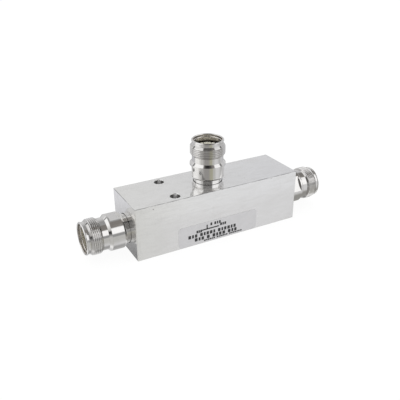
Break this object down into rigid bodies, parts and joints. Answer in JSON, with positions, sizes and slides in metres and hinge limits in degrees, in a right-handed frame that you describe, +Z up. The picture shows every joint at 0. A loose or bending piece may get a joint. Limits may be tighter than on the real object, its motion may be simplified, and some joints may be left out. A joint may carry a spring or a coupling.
{
  "type": "coaxial signal tapper",
  "caption": "Machined aluminium bar that passes a radio signal along a coaxial line and splits part of it off to a jack on top.",
  "frame": {"origin": "centre of the bar's underside, which is also the bottom centre of the whole part's box", "axes": "+X along the main line, from the input jack to the output jack; +Z up, along the tap jack; -Y towards the labelled face"},
  "size_m": [0.1518, 0.0314, 0.0554],
  "materials": {
    "aluminium_bar": "fine machined, bare",
    "jack_plating": "bright white-bronze plating over brass",
    "contact_plating": "satin silver plating over brass",
    "bead_white": "waxy white fluoropolymer",
    "seal_rubber": "matt black",
    "label_film": "satin clear film on metal"
  },
  "bodies": {
    "root": {"housing": "aluminium_bar", "main_line_conductor": "contact_plating", "tap_line_conductor": "contact_plating", "input_connector_shell": "jack_plating", "input_outer_contact": "contact_plating", "input_insulator": "bead_white", "input_insulator_retainer": "contact_plating", "input_centre_contact": "contact_plating", "input_seal": "seal_rubber", "output_connector_shell": "jack_plating", "output_outer_contact": "contact_plating", "output_insulator": "bead_white", "output_insulator_retainer": "contact_plating", "output_centre_contact": "contact_plating", "output_seal": "seal_rubber", "tap_connector_shell": "jack_plating", "tap_outer_contact": "contact_plating", "tap_insulator": "bead_white", "tap_insulator_retainer": "contact_plating", "tap_centre_contact": "contact_plating", "tap_seal": "seal_rubber", "label": "label_film"}
  },
  "joints": []
}
